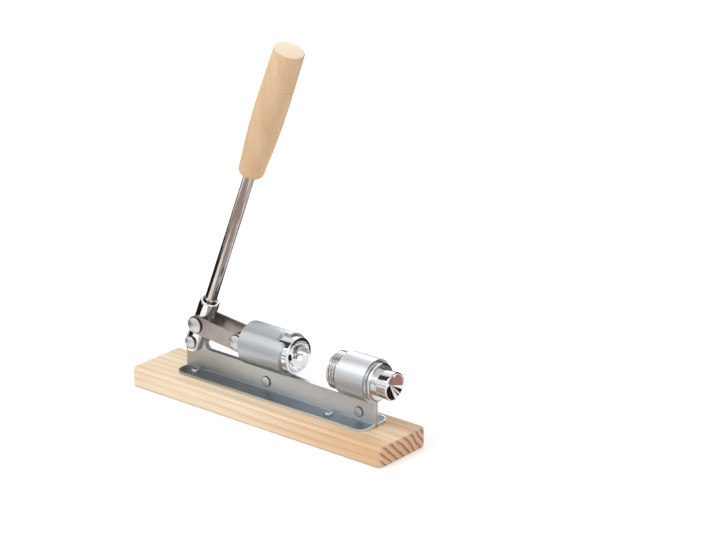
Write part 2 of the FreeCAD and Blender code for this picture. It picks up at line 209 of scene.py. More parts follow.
# Cards
# Flat cards that only reflections see, which give the polished metal its edges and tones.
# Each has its corners, and the colours of its lowest and its highest point.
least_rise = 1e-4
cards = (
    ("rear_card", ((-0.45, 0.115, 0), (0.04, 0.115, 0), (0.04, 0.115, 0.08), (-0.03, 0.115, 0.08),
                   (-0.05, 0.115, 0.02), (-0.08, 0.115, 0.02), (-0.10, 0.115, 0.18),
                   (-0.45, 0.115, 0.18)), (30, 25, 22), (95, 86, 80)),
    ("rear_high_card", ((-0.1, 0.4, 0), (0.3, 0.4, 0), (0.3, 0.4, 0.4), (-0.1, 0.4, 0.4)),
     (20, 18, 18), (20, 18, 18)),
    ("rear_floor_card", ((-0.20, 0.03, 0.001), (-0.02, 0.03, 0.001), (-0.01, 0.114, 0.001),
                         (-0.20, 0.114, 0.001)), (64, 52, 46), (64, 52, 46)),
    ("rear_right_card", ((0.06, 0.115, 0), (0.225, 0.115, 0), (0.225, 0.115, 0.06), (0.215, 0.115, 0.095),
                         (0.16, 0.115, 0.10), (0.06, 0.115, 0.06)), (62, 44, 38), (14, 12, 12)),
    ("knob_floor_card", ((0.112, 0.056, 0.001), (0.13, -0.03, 0.001), (0.40, -0.03, 0.001),
                         (0.25, 0.03, 0.001), (0.19, 0.056, 0.001)), (178, 138, 124), (178, 138, 124)),
    ("right_card", ((0.26, -0.30, 0.038), (0.26, 0.06, 0.038), (0.26, 0.06, 0.066),
                    (0.26, -0.30, 0.066)), (50, 38, 33), (50, 38, 33)),
    ("right_strip", ((0.26, 0.060, 0.07), (0.26, 0.080, 0.07), (0.26, 0.080, 0.13),
                     (0.26, 0.060, 0.13)), (14, 12, 12), (14, 12, 12)),
    ("high_card", ((-0.85, 0.0, 0.86), (-0.30, 0.0, 0.86), (-0.30, -0.54, 0.65),
                   (-0.85, -0.54, 0.65)), (58, 62, 68), (58, 62, 68)),
    ("horizon_card", ((-0.60, -0.62, 0.085), (0.05, -0.62, 0.085), (0.05, -0.62, 0.14),
                      (-0.60, -0.62, 0.14)), (50, 52, 58), (50, 52, 58)),
    ("front_floor_card", ((-0.60, -0.60, 0.001), (0.10, -0.60, 0.001), (0.10, -0.075, 0.001),
                          (-0.035, -0.075, 0.001), (-0.035, -0.20, 0.001), (-0.60, -0.20, 0.001)),
     (190, 172, 164), (190, 172, 164)),
    ("board_side_card", ((-0.035, -0.074, 0.001), (0.10, -0.074, 0.001), (0.10, -0.034, 0.001),
                         (-0.06, -0.034, 0.001)), (166, 162, 158), (166, 162, 158)),
    ("left_floor_card", ((-0.60, 0.115, 0.001), (-0.17, 0.115, 0.001), (-0.17, -0.199, 0.001),
                         (-0.60, -0.199, 0.001)), (34, 30, 28), (34, 30, 28)),
    ("left_card", ((-0.60, -0.15, 0), (-0.60, 0.115, 0), (-0.60, 0.115, 0.12),
                   (-0.60, -0.15, 0.12)), (20, 16, 14), (60, 52, 48)),
)


def object_axis(tree, axis):
    """Coordinate along x, y or z, as axis 0, 1 or 2, in an object's own space."""
    return add_node(tree, "ShaderNodeSeparateXYZ", {0: object_coordinates(tree)}).outputs[axis]


def blend_colours(tree, share, first, second):
    """Colour between two others."""
    return add_node(tree, "ShaderNodeMix", {0: share, 6: first, 7: second}, data_type="RGBA").outputs[2]


def card_material(name, foot_colour, top_colour, foot, top):
    """Even light of a colour that changes from a card's lowest to its highest point."""
    material = bpy.data.materials.new(name)
    material.use_nodes = True
    tree = material.node_tree
    tree.nodes.remove(tree.nodes["Principled BSDF"])
    share = spread(tree, object_axis(tree, 2), foot, top + least_rise)
    tone = blend_colours(tree, share, colour(*foot_colour), colour(*top_colour))
    glow = add_node(tree, "ShaderNodeEmission", {"Color": tone})
    tree.links.new(glow.outputs[0], tree.nodes["Material Output"].inputs["Surface"])
    return material


for name, corners, foot_colour, top_colour in cards:
    shape = bmesh.new()
    shape.faces.new([shape.verts.new(corner) for corner in corners])
    heights = [corner[2] for corner in corners]
    card_mesh = bpy.data.meshes.new(name)
    shape.to_mesh(card_mesh)
    shape.free()
    card_mesh.materials.append(card_material(name, foot_colour, top_colour, min(heights), max(heights)))
    card = bpy.data.objects.new(name, card_mesh)
    bpy.context.collection.objects.link(card)
    card.visible_camera = False
    card.visible_diffuse = False
    card.visible_transmission = False
    card.visible_shadow = False


# Base board
# A planed pine board with eased edges, sawn across at both ends. The growth rings run along
# it and show as arcs on the end grain. The frame is screwed down to it.
board_edge = 0.002
board_corner = 0.004
ring_centre = (-0.115, -0.100)
ring_spacing = 0.0050
pine_pale = colour(253, 240, 218)
pine_warm = colour(243, 218, 182)
pine_amber = colour(226, 182, 136)
pine_line = colour(218, 172, 128)
pine_end = colour(232, 192, 158)
pine_end_line = colour(166, 106, 80)
board_contact_shade = colour(150, 138, 128)
ring_drift = 0.0028
late_wood_start = 0.35
late_wood_full = 0.86
late_wood_fade = 0.9
late_wood_end = 0.98
end_grain_depth = 0.0012
amber_reach = 0.13
contact_shade_height = 0.0008
board_end = cad_box[1][0]


def box_between(low, high):
    """Box with its corners at low and high."""
    shape = bmesh.new()
    bmesh.ops.create_cube(shape, size=1)
    bmesh.ops.scale(shape, vec=high - low, verts=shape.verts)
    bmesh.ops.translate(shape, vec=(low + high) / 2, verts=shape.verts)
    return shape


def bevel_edges(shape, edges, offset, segments):
    """Round edges of a shape."""
    bmesh.ops.bevel(shape, geom=edges, offset=offset, segments=segments, profile=0.5,
                    affect="EDGES", material=-1)


def make_piece(name, shape, material, sharp=32):
    """Object of a finished shape, smooth up to the angle at which an edge stays crisp."""
    mesh = bpy.data.meshes.new(name)
    shape.to_mesh(mesh)
    shape.free()
    mesh.shade_smooth()
    mesh.set_sharp_from_angle(angle=math.radians(sharp))
    mesh.materials.append(material)
    piece = bpy.data.objects.new(name, mesh)
    bpy.context.collection.objects.link(piece)
    return piece


def new_material(name, roughness, metallic=0.0):
    """Material with its shader set, and the tree and shader to build on."""
    material = bpy.data.materials.new(name)
    material.use_nodes = True
    shader = material.node_tree.nodes["Principled BSDF"]
    shader.inputs["Roughness"].default_value = roughness
    shader.inputs["Metallic"].default_value = metallic
    return material, material.node_tree, shader


def grain_space(tree, stretch, turn=(0, 0, 0)):
    """Object coordinates turned to a piece and stretched along its grain."""
    return add_node(tree, "ShaderNodeMapping", {"Vector": object_coordinates(tree),
                    "Rotation": turn, "Scale": stretch}).outputs[0]


def noise(tree, space, scale, detail=3.0, roughness=0.5):
    """Value of a noise in a space."""
    return add_node(tree, "ShaderNodeTexNoise", {"Vector": space, "Scale": scale, "Detail": detail,
                    "Roughness": roughness}).outputs["Fac"]


def vector_step(tree, operation, first, second):
    """Vector worked out from two others."""
    return add_node(tree, "ShaderNodeVectorMath", {0: first, 1: second}, operation=operation).outputs[0]


def distance_from(tree, centre, ways):
    """Distance from a place, counted along the axes that ways marks with 1."""
    offset = vector_step(tree, "SUBTRACT", object_coordinates(tree), centre)
    return vector_length(tree, vector_step(tree, "MULTIPLY", offset, ways))


def raise_bumps(tree, shader, height, strength, distance):
    """Fine relief on a surface."""
    bump = add_node(tree, "ShaderNodeBump", {"Height": height, "Strength": strength,
                    "Distance": distance})
    tree.links.new(bump.outputs[0], shader.inputs["Normal"])


pine, tree, shader = new_material("planed_pine", 0.55)
shader.inputs["Specular IOR Level"].default_value = 0.35
along_grain = grain_space(tree, (7, 60, 60))
board_x = object_axis(tree, 0)

drift = spread(tree, noise(tree, along_grain, 1.0), 0, 1, -ring_drift, ring_drift)
ring_radius = calculate(tree, "ADD", distance_from(tree, (0, *ring_centre), (0, 1, 1)), drift)
ring = calculate(tree, "FRACT", calculate(tree, "DIVIDE", ring_radius, ring_spacing))
late_wood = calculate(tree, "MULTIPLY",
                      spread(tree, ring, late_wood_start, late_wood_full, 0, 1, "SMOOTHSTEP"),
                      spread(tree, ring, late_wood_fade, late_wood_end, 1, 0, "SMOOTHSTEP"))
ring_tone = spread(tree, noise(tree, along_grain, 0.6, 1.0), 0.3, 0.7, 0.12, 0.75)

amber_streak = noise(tree, grain_space(tree, (5, 90, 90)), 1.0, 2.0)
amber_share = calculate(tree, "MULTIPLY", spread(tree, board_x, 0.0, amber_reach),
                        spread(tree, amber_streak, 0.35, 0.62, 0.1, 1.0))
body_tone = blend_colours(tree, noise(tree, along_grain, 0.9, 4.0), pine_pale, pine_warm)
body_tone = blend_colours(tree, amber_share, body_tone, pine_amber)
long_tone = blend_colours(tree, calculate(tree, "MULTIPLY", late_wood, ring_tone), body_tone, pine_line)

end_tone = blend_colours(tree, late_wood, pine_end, pine_end_line)
end_share = spread(tree, calculate(tree, "ABSOLUTE", board_x), board_end - end_grain_depth,
                   board_end - end_grain_depth / 3)
wood_tone = blend_colours(tree, end_share, long_tone, end_tone)
# Painted shade: a dark contact shadow is painted along the board's lowest edge
contact_shade_share = spread(tree, object_axis(tree, 2), contact_shade_height, 0.0)
wood_tone = blend_colours(tree, contact_shade_share, wood_tone, board_contact_shade)

fibre = noise(tree, grain_space(tree, (40, 900, 900)), 1.0, 4.0, 0.6)
fibre_share = spread(tree, fibre, 0.35, 0.65, 0, 0.22)
tree.links.new(blend_colours(tree, fibre_share, wood_tone, pine_line), shader.inputs["Base Color"])
tree.links.new(spread(tree, fibre, 0.3, 0.7, 0.48, 0.64), shader.inputs["Roughness"])
raise_bumps(tree, shader, calculate(tree, "ADD", fibre, late_wood), 0.25, 0.0002)

board_low, board_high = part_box("base_board")
board_shape = box_between(board_low, board_high)
upright = [edge for edge in board_shape.edges if edge.verts[0].co.xy == edge.verts[1].co.xy]
bevel_edges(board_shape, upright, board_corner, 8)
flat = [edge for edge in board_shape.edges if edge.verts[0].co.z == edge.verts[1].co.z]
bevel_edges(board_shape, flat, board_edge, 4)
board = make_piece("pine_board", board_shape, pine, 50)
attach(board, "root")
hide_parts("base_board")


# Press frame
# One blank of galvanised steel sheet, folded along the middle into two feet, a doubled web,
# two sleeves and a tang for the lever. Its cut edges are lightly rounded.
frame_low, frame_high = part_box("press_frame")
joints = {joint["name"]: joint for joint in frame["joints"]}
pivot = Vector(joints["lever_swing"]["pos_m"])
link_pin = Vector(joints["link_swing"]["pos_m"])
sleeve_axis = Vector(joints["knob_turn"]["pos_m"])
middle_y = pivot.y
sheet = 0.002
web_middle = 0.00115
bend = 0.0017
sleeve_radius = 0.0155
tang_radius = 0.0093
tang_fillet = 0.0045
foot_corner = 0.008
rear_sleeve = (-0.0245, 0.0153)
front_sleeve = (0.069, frame_high.x)
notch_width = 0.009
notch_depth = 0.0072
notch_corner = 0.0025
notch_angle = math.radians(23)
sheet_edge = 0.00022
corner_steps = 12
notch_steps = 6
fillet_steps = 8
tang_steps = 24
sleeve_steps = 48
bend_steps = 8
# Points nearer than hair are one point, and a cut takes in the points nearer than cut_hair
hair = 1e-6
cut_hair = 1e-7
rounding_error = 1e-9

foot_middle_z = frame_low.z + sheet / 2
foot_reach = frame_high.y - middle_y
fold_y = web_middle + bend
crease_reach = sleeve_radius + bend
crease_z = sleeve_axis.z - math.sqrt(crease_reach ** 2 - fold_y ** 2)
crease_end = math.atan2(sleeve_axis.z - crease_z, -fold_y)
# The path of the sheet's middle across the press: straight runs and arcs, from the foot's edge up
fold_path = (
    ("run", (foot_reach, foot_middle_z), (fold_y, foot_middle_z)),
    ("arc", (fold_y, foot_middle_z + bend), bend, 1.5 * math.pi, math.pi),
    ("run", (web_middle, foot_middle_z + bend), (web_middle, crease_z)),
    ("arc", (fold_y, crease_z), bend, math.pi, crease_end),
    ("arc", (0, sleeve_axis.z), sleeve_radius, crease_end - math.pi, math.pi / 2),
)


def fold_length(part):
    """Length of a part of the fold path."""
    if part[0] == "run":
        return math.dist(part[1], part[2])
    return part[2] * abs(part[4] - part[3])


fold_starts = [sum(fold_length(part) for part in fold_path[:index]) for index in range(len(fold_path))]
blank_height = fold_starts[-1] + fold_length(fold_path[-1])


def folded(distance):
    """Place across the press, and height, of a point at this distance up the flat blank."""
    for part, start in reversed(list(zip(fold_path, fold_starts))):
        if distance >= start - rounding_error:
            share = (distance - start) / fold_length(part)
            if part[0] == "run":
                return Vector(part[1]).lerp(Vector(part[2]), share)
            angle = part[3] + (part[4] - part[3]) * share
            return Vector(part[1]) + part[2] * Vector((math.cos(angle), math.sin(angle)))


def arc_points(centre, radius, start, end, steps=corner_steps):
    """Points on an arc in the flat blank, from the angle start to end in degrees."""
    turns = [math.radians(start + (end - start) * step / steps) for step in range(steps + 1)]
    return [(centre[0] + radius * math.cos(turn), centre[1] + radius * math.sin(turn)) for turn in turns]


def sleeve_points(sleeve, notched):
    """Outline of half a sleeve in the blank, from its front edge to its rear edge."""
    rear, front = sleeve
    edge = [(front, web_end)]
    if notched:
        middle = blank_height - notch_angle * sleeve_radius
        low, high = middle - notch_width / 2, middle + notch_width / 2
        floor_x = front - notch_depth
        edge += [(front, low)]
        corner_x = floor_x + notch_corner
        edge += arc_points((corner_x, low + notch_corner), notch_corner, 270, 180, notch_steps)
        edge += arc_points((corner_x, high - notch_corner), notch_corner, 180, 90, notch_steps)
        edge += [(front, high)]
    return edge + [(front, blank_height), (rear, blank_height), (rear, web_end)]


web_start = fold_starts[2]
web_end = fold_starts[3]
tang_centre = (pivot.x, web_start + pivot.z - foot_middle_z - bend)
tang_front = pivot.x + tang_radius + tang_fillet


def blank_outline(notched):
    """Half of the flat blank, going round from the rear end of the foot's edge."""
    outline = arc_points((frame_low.x + foot_corner, foot_corner), foot_corner, 180, 270)
    outline += arc_points((frame_high.x - foot_corner, foot_corner), foot_corner, 270, 360)
    outline += sleeve_points(front_sleeve, False)
    outline += sleeve_points(rear_sleeve, notched)
    outline += arc_points((tang_front, web_end + tang_fillet), tang_fillet, 270, 180, fillet_steps)
    outline += arc_points(tang_centre, tang_radius, 0, 180, tang_steps)
    return outline


def cut_through(shape, place, facing, clear_below=False):
    """Cut a shape along a plane, and clear what lies below it if that is asked for."""
    bmesh.ops.bisect_plane(shape, geom=shape.verts[:] + shape.edges[:] + shape.faces[:], dist=cut_hair,
                           plane_co=place, plane_no=facing, clear_inner=clear_below)


def frame_half(notched, side):
    """Half of the folded sheet, as a thin surface in the sheet's middle."""
    shape = bmesh.new()
    corners = [shape.verts.new((x, distance, 0)) for x, distance in blank_outline(notched)]
    shape.faces.new(corners)
    for part, start in zip(fold_path, fold_starts):
        steps = 1
        if part[0] == "arc":
            steps = sleeve_steps if part[2] == sleeve_radius else bend_steps
        for step in range(steps):
            distance = start + fold_length(part) * step / steps
            cut_through(shape, (0, distance, 0), (0, 1, 0))
    for vert in shape.verts:
        across, height = folded(vert.co.y)
        if vert.co.x < tang_front and vert.co.y > web_end:
            across, height = web_middle, crease_z + vert.co.y - web_end
        vert.co = (vert.co.x, middle_y + side * across, height)
    return shape


frame_shape = bmesh.new()
for notched, side in ((False, 1), (True, -1)):
    half = frame_half(notched, side)
    half_mesh = bpy.data.meshes.new("frame_half")
    half.to_mesh(half_mesh)
    half.free()
    frame_shape.from_mesh(half_mesh)
    bpy.data.meshes.remove(half_mesh)
bmesh.ops.remove_doubles(frame_shape, verts=frame_shape.verts, dist=hair)
bmesh.ops.recalc_face_normals(frame_shape, faces=frame_shape.faces)

galvanised, tree, shader = new_material("galvanised_sheet", 0.42, 1.0)
web_rear_shade = colour(176, 174, 168)
web_front_highlight = colour(224, 229, 231)
sleeve_rear_shade = colour(182, 187, 191)
sleeve_front_highlight = colour(205, 209, 213)
cloud_tone = colour(196, 196, 192)
foot_shade_grey = colour(118, 126, 134)
web_light_fade = (-0.06, 0.03)
sleeve_light_fade = (0.0, 0.07)
bend_fade = (0.1, 0.5)
edge_fade = (0.0002, 0.0004)
border_fade = (0.0012, 0.0006)
foot_top = frame_low.z + sheet
half_length = (frame_high.x - frame_low.x) / 2

# Painted shade: the foot's flat top is painted darker than its bend, its cut edge and its border, which
# keep the sheet's own tone
frame_x = object_axis(tree, 0)
frame_z = object_axis(tree, 2)
in_bend = spread(tree, frame_z, foot_top + bend * bend_fade[0], foot_top + bend * bend_fade[1])
in_edge = spread(tree, frame_z, foot_top - edge_fade[0], foot_top - edge_fade[1])
border_steps = (("SUBTRACT", (frame_low.x + half_length, middle_y, 0)), ("ABSOLUTE", (0, 0, 0)),
                ("SUBTRACT", (half_length - foot_corner, foot_reach - foot_corner, 0)),
                ("MAXIMUM", (0, 0, 0)), ("MULTIPLY", (1, 1, 0)))
from_corner = object_coordinates(tree)
for operation, second in border_steps:
    from_corner = vector_step(tree, operation, from_corner, second)
in_border = spread(tree, vector_length(tree, from_corner), foot_corner - border_fade[0],
                   foot_corner - border_fade[1])
outside_foot_shade = calculate(tree, "MAXIMUM", calculate(tree, "MAXIMUM", in_bend, in_edge), in_border)

# Painted light: the web and the sleeves are painted darker towards the rear, as shade, and lighter towards
# the front, as highlight
web_tone = blend_colours(tree, spread(tree, frame_x, *web_light_fade), web_rear_shade, web_front_highlight)
sleeve_tone = blend_colours(tree, spread(tree, frame_x, *sleeve_light_fade), sleeve_rear_shade,
                            sleeve_front_highlight)
in_sleeve = spread(tree, frame_z, crease_z - bend, crease_z)
sheet_tone = blend_colours(tree, in_sleeve, web_tone, sleeve_tone)
cloud = noise(tree, grain_space(tree, (18, 30, 30)), 1.0, 3.0)
sheet_tone = blend_colours(tree, spread(tree, cloud, 0.35, 0.65, 0, 0.3), sheet_tone, cloud_tone)
rolled = noise(tree, grain_space(tree, (12, 500, 500)), 1.0, 4.0, 0.7)
tree.links.new(blend_colours(tree, outside_foot_shade, foot_shade_grey, sheet_tone), shader.inputs["Base Color"])
tree.links.new(spread(tree, rolled, 0.3, 0.7, 0.35, 0.46), shader.inputs["Roughness"])
raise_bumps(tree, shader, rolled, 0.12, 0.0001)


def round_edges(piece, width, segments=2, angle=35):
    """Round a piece's sharp edges and keep its flats flat."""
    rounding = piece.modifiers.new("rounded_edges", "BEVEL")
    rounding.width = width
    rounding.segments = segments
    rounding.limit_method = "ANGLE"
    rounding.angle_limit = math.radians(angle)
    rounding.harden_normals = True


sheet_frame = make_piece("sheet_frame", frame_shape, galvanised, 35)
walls = sheet_frame.modifiers.new("sheet_thickness", "SOLIDIFY")
walls.thickness = sheet
walls.offset = 0
walls.use_even_offset = True
round_edges(sheet_frame, sheet_edge)
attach(sheet_frame, "root")
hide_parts("press_frame")


# Web rivets
# Two soft steel rivets with low flat heads clamp the doubled web under the sleeves.
rivet_nodes = ("web_rivet_middle", "web_rivet_front")
rivet_head_round = 0.0005
rivet_shank = 0.002
rivet_grey = colour(216, 217, 215)
rivet_rim_shade = colour(88, 88, 90)
rivet_rim_shade_start = 0.41
rivet_rim_shade_full = 0.47


def turned(profile, segments=96):
    """Spin points of (along, radius, rounding) about the upright axis."""
    shape = bmesh.new()
    points = [shape.verts.new((radius, 0, along)) for along, radius, _ in profile]
    for pair in zip(points, points[1:]):
        shape.edges.new(pair)
    for point, (_, _, rounding) in zip(points, profile):
        if rounding:
            bmesh.ops.bevel(shape, geom=[point], offset=rounding, segments=5, profile=0.5,
                            affect="VERTICES", material=-1)
    bmesh.ops.spin(shape, geom=shape.verts[:] + shape.edges[:], cent=(0, 0, 0), axis=(0, 0, 1),
                   angle=2 * math.pi, steps=segments, use_merge=True)
    bmesh.ops.remove_doubles(shape, verts=shape.verts, dist=hair)
    bmesh.ops.recalc_face_normals(shape, faces=shape.faces)
    return shape


def set_along(shape, axis, place):
    """Lay a shape made along the upright axis along another one, with its foot at the place."""
    turn = Vector((0, 0, 1)).rotation_difference(axis).to_matrix()
    bmesh.ops.rotate(shape, cent=(0, 0, 0), matrix=turn, verts=shape.verts)
    bmesh.ops.translate(shape, vec=place, verts=shape.verts)
    return shape


def join(*shapes):
    """One shape of several."""
    whole = bmesh.new()
    for shape in shapes:
        mesh = bpy.data.meshes.new("part")
        shape.to_mesh(mesh)
        shape.free()
        whole.from_mesh(mesh)
        bpy.data.meshes.remove(mesh)
    return whole


def polished_metal(name, tone, worn_tone, roughness, grain=(60, 60, 60), relief=0.05):
    """Metal with a faint cloudiness, fine polishing marks and uneven gloss."""
    material, tree, shader = new_material(name, roughness, 1.0)
    haze = noise(tree, grain_space(tree, (90, 90, 90)), 1.0, 3.0)
    marks = noise(tree, grain_space(tree, grain), 12.0, 4.0, 0.7)
    tree.links.new(blend_colours(tree, spread(tree, haze, 0.35, 0.65), tone, worn_tone),
                   shader.inputs["Base Color"])
    tree.links.new(spread(tree, marks, 0.3, 0.7, roughness * 0.8, roughness * 1.25),
                   shader.inputs["Roughness"])
    raise_bumps(tree, shader, marks, relief, 0.00005)
    return material


rivet_steel, tree, shader = new_material("rivet_steel", 0.34, 1.0)
distances = []
for node in rivet_nodes:
    low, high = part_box(node)
    distances.append(distance_from(tree, (low + high) / 2, (1, 0, 1)))
head_width = high.x - low.x
# Painted shade: each head is painted dark round its edge, where it meets the web
rivet_rim_shade_share = spread(tree, calculate(tree, "MINIMUM", *distances), head_width * rivet_rim_shade_start,
                   head_width * rivet_rim_shade_full)
hammered = noise(tree, grain_space(tree, (500, 500, 500)), 1.0, 2.0)
tree.links.new(blend_colours(tree, rivet_rim_shade_share, rivet_grey, rivet_rim_shade), shader.inputs["Base Color"])
tree.links.new(spread(tree, hammered, 0.3, 0.7, 0.26, 0.42), shader.inputs["Roughness"])
raise_bumps(tree, shader, hammered, 0.12, 0.0002)

for node in rivet_nodes:
    low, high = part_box(node)
    centre = (low + high) / 2
    head_radius = (high.x - low.x) / 2
    half = (high.y - low.y) / 2
    face = web_middle + sheet / 2
    shape = turned([(-half, 0, 0), (-half, head_radius, rivet_head_round), (-face, head_radius, 0),
                    (-face, rivet_shank, 0), (face, rivet_shank, 0), (face, head_radius, 0),
                    (half, head_radius, rivet_head_round), (half, 0, 0)], 48)
    rivet = make_piece(node + "_heads", set_along(shape, Vector((0, 1, 0)), centre), rivet_steel)
    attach(rivet, "root")
    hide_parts(node)


# Foot screws
# Zinc-plated pan head wood screws with cross recesses, driven through the feet into the board.
screw_head_height = 0.002
screw_head_round = 0.0012
screw_shank = 0.0017
cross_half_width = 0.00045
cross_reach = 0.0019
cross_depth = 0.0009
facing_up = 0.99
screw_turns = {"foot_screw_rear_right": 25, "foot_screw_rear_left": 70,
               "foot_screw_front_right": 52, "foot_screw_front_left": 10}

zinc = polished_metal("zinc_plate", colour(178, 183, 192), colour(150, 154, 160), 0.2)


def head_top(shape, seat):
    """Faces of a screw's flat top."""
    return [face for face in shape.faces
            if face.normal.z > facing_up and face.calc_center_median().z > seat]


def screw_shape(length, head_radius):
    """Screw standing point down at the origin, with a cross sunk in its head."""
    seat = length - screw_head_height
    shape = turned([(0, 0, 0), (screw_shank * 2, screw_shank, 0), (seat, screw_shank, 0),
                    (seat, head_radius, 0), (length, head_radius, screw_head_round), (length, 0, 0)], 40)
    bmesh.ops.dissolve_faces(shape, faces=head_top(shape, seat))
    for way in (Vector((1, 0, 0)), Vector((0, 1, 0))):
        for reach in (-cross_reach, -cross_half_width, cross_half_width, cross_reach):
            top = head_top(shape, seat)
            around = list({edge for face in top for edge in face.edges})
            corners = list({vert for face in top for vert in face.verts})
            bmesh.ops.bisect_plane(shape, geom=corners + around + top, plane_co=way * reach, plane_no=way)
    cross = []
    for face in head_top(shape, seat):
        middle = face.calc_center_median()
        narrow, wide = sorted((abs(middle.x), abs(middle.y)))
        if wide < cross_reach and narrow < cross_half_width:
            cross.append(face)
    sunk = bmesh.ops.extrude_face_region(shape, geom=cross)["geom"]
    bmesh.ops.delete(shape, geom=cross, context="FACES_ONLY")
    bmesh.ops.translate(shape, vec=(0, 0, -cross_depth),
                        verts=[item for item in sunk if isinstance(item, bmesh.types.BMVert)])
    return shape


for node, degrees in screw_turns.items():
    low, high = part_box(node)
    shape = screw_shape(high.z - low.z, (high.x - low.x) / 2)
    bmesh.ops.rotate(shape, cent=(0, 0, 0), matrix=Matrix.Rotation(math.radians(degrees), 3, "Z"),
                     verts=shape.verts)
    point = Vector(((low.x + high.x) / 2, (low.y + high.y) / 2, low.z))
    bmesh.ops.translate(shape, vec=point, verts=shape.verts)
    screw = make_piece(node + "_cross_head", shape, zinc)
    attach(screw, "root")
    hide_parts(node)


# Pivot rivet
# A polished steel pin through clevis and tang, headed over into a broad dome on each side.
pin_radius = 0.0025
pin_head_rim = 0.001
pin_dome = 0.0017
dome_steps = 8
pin_edge = 0.00018

pin_rim_shade_share = 0.97
pin_rim_shade_grey = colour(70, 66, 64)


def shade_over(material, share, tone):
    """Lay a painted shade over a metal's own tone, by a share."""
    tree = material.node_tree
    base = tree.nodes["Principled BSDF"].inputs["Base Color"]
    own_tone = base.links[0].from_socket
    tree.links.new(blend_colours(tree, share, own_tone, tone), base)


def domed_pin(node, centre):
    """Pin along the cross direction with a dome at each end, sized from its node."""
    low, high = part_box(node)
    half = (high.y - low.y) / 2
    head_radius = (high.z - low.z) / 2
    ball = (head_radius ** 2 + pin_dome ** 2) / (2 * pin_dome)
    reach = math.asin(head_radius / ball)
    dome = [(half - ball + ball * math.cos(reach * step / dome_steps),
             ball * math.sin(reach * step / dome_steps), 0) for step in range(dome_steps + 1)]
    rim = half - pin_dome
    profile = dome[:-1] + [(rim, head_radius, pin_edge), (rim - pin_head_rim, head_radius, pin_edge),
                           (rim - pin_head_rim, pin_radius, 0)]
    profile += [(-along, radius, rounding) for along, radius, rounding in reversed(profile)]
    shape = turned(profile, 64)
    rim_shade = shape.verts.layers.float.new("rim_shade")
    for vert in shape.verts:
        vert[rim_shade] = float(vert.co.xy.length > head_radius * pin_rim_shade_share)
    return set_along(shape, Vector((0, 1, 0)), centre)


polished_steel = polished_metal("polished_steel", colour(216, 218, 220), colour(206, 206, 206), 0.36,
                                relief=0.005)
pin_tree = polished_steel.node_tree
# Painted shade: each dome's outer edge is painted dark, as the shadow in the gap between head and link
pin_rim_shade_mask = add_node(pin_tree, "ShaderNodeAttribute", attribute_name="rim_shade").outputs["Fac"]
shade_over(polished_steel, spread(pin_tree, pin_rim_shade_mask, 0.2, 0.9), pin_rim_shade_grey)
pivot_pin = make_piece("pivot_pin", domed_pin("pivot_rivet", pivot), polished_steel)
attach(pivot_pin, "root")
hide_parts("pivot_rivet")


# Lever clevis
# A turned and chromed socket, open at its top. It is slotted from below to straddle the
# tang, rounded at its foot, and the lever rod is pressed into its mouth.
lever_lean = math.radians(21)
clevis_radius = 0.0076
clevis_mouth = 0.00615
clevis_height = 0.0378
clevis_rim_round = 0.0007
clevis_mouth_depth = 0.005
clevis_slot_top = 0.031
clevis_slot_half = 0.0023
clevis_mouth_round = 0.0002
clevis_edge = 0.00025
rod_radius = 0.0045

chrome = polished_metal("polished_chrome", colour(232, 232, 234), colour(220, 219, 219), 0.07, relief=0.03)


def on_lever(shape):
    """Lean a shape made upright over the pivot, and set it on the pivot."""
    lean = Matrix.Rotation(lever_lean, 3, "Y")
    bmesh.ops.rotate(shape, cent=(0, 0, 0), matrix=lean, verts=shape.verts)
    bmesh.ops.translate(shape, vec=pivot, verts=shape.verts)
    return shape


def clevis_shape():
    """The turned socket, slotted from below, with a round foot."""
    shape = turned([(0, clevis_radius, 0), (clevis_slot_top, clevis_radius, 0),
                    (clevis_height, clevis_radius, clevis_rim_round),
                    (clevis_height, clevis_mouth, clevis_mouth_round),
                    (clevis_height - clevis_mouth_depth, rod_radius, 0)])
    for side in (-1, 1):
        cut_through(shape, (0, side * clevis_slot_half, 0), (0, 1, 0))
    slot = [face for face in shape.faces if face.calc_center_median().z < clevis_slot_top
            and abs(face.calc_center_median().y) < clevis_slot_half]
    bmesh.ops.delete(shape, geom=slot, context="FACES")
    for vert in shape.verts:
        if vert.co.z < hair:
            vert.co.z = -math.sqrt(max(clevis_radius ** 2 - vert.co.x ** 2, 0))
    foot = [edge for edge in shape.edges
            if edge.is_boundary and all(vert.co.z < hair for vert in edge.verts)]
    grown = bmesh.ops.extrude_edge_only(shape, edges=foot)["geom"]
    for vert in [item for item in grown if isinstance(item, bmesh.types.BMVert)]:
        vert.co.y = math.copysign(clevis_slot_half, vert.co.y)
    bmesh.ops.remove_doubles(shape, verts=shape.verts, dist=hair)
    for side in (-1, 1):
        ends = [vert for vert in shape.verts if abs(vert.co.y - side * clevis_slot_half) < hair
                and abs(vert.co.z - clevis_slot_top) < hair and vert.co.xy.length < clevis_radius + hair
                and any(edge.is_boundary for edge in vert.link_edges)]
        shape.edges.new(ends)
        cheek = [edge for edge in shape.edges if not edge.link_faces or edge.is_boundary]
        cheek = [edge for edge in cheek
                 if all(abs(vert.co.y - side * clevis_slot_half) < hair for vert in edge.verts)]
        bmesh.ops.edgenet_fill(shape, edges=cheek)
    roof = [edge for edge in shape.edges if edge.is_boundary
            and all(abs(vert.co.z - clevis_slot_top) < hair for vert in edge.verts)]
    bmesh.ops.edgenet_fill(shape, edges=roof)
    bmesh.ops.recalc_face_normals(shape, faces=shape.faces)
    return shape


clevis = make_piece("chromed_clevis", on_lever(clevis_shape()), chrome)
round_edges(clevis, clevis_edge)
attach(clevis, "lever")
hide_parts("lever_clevis")


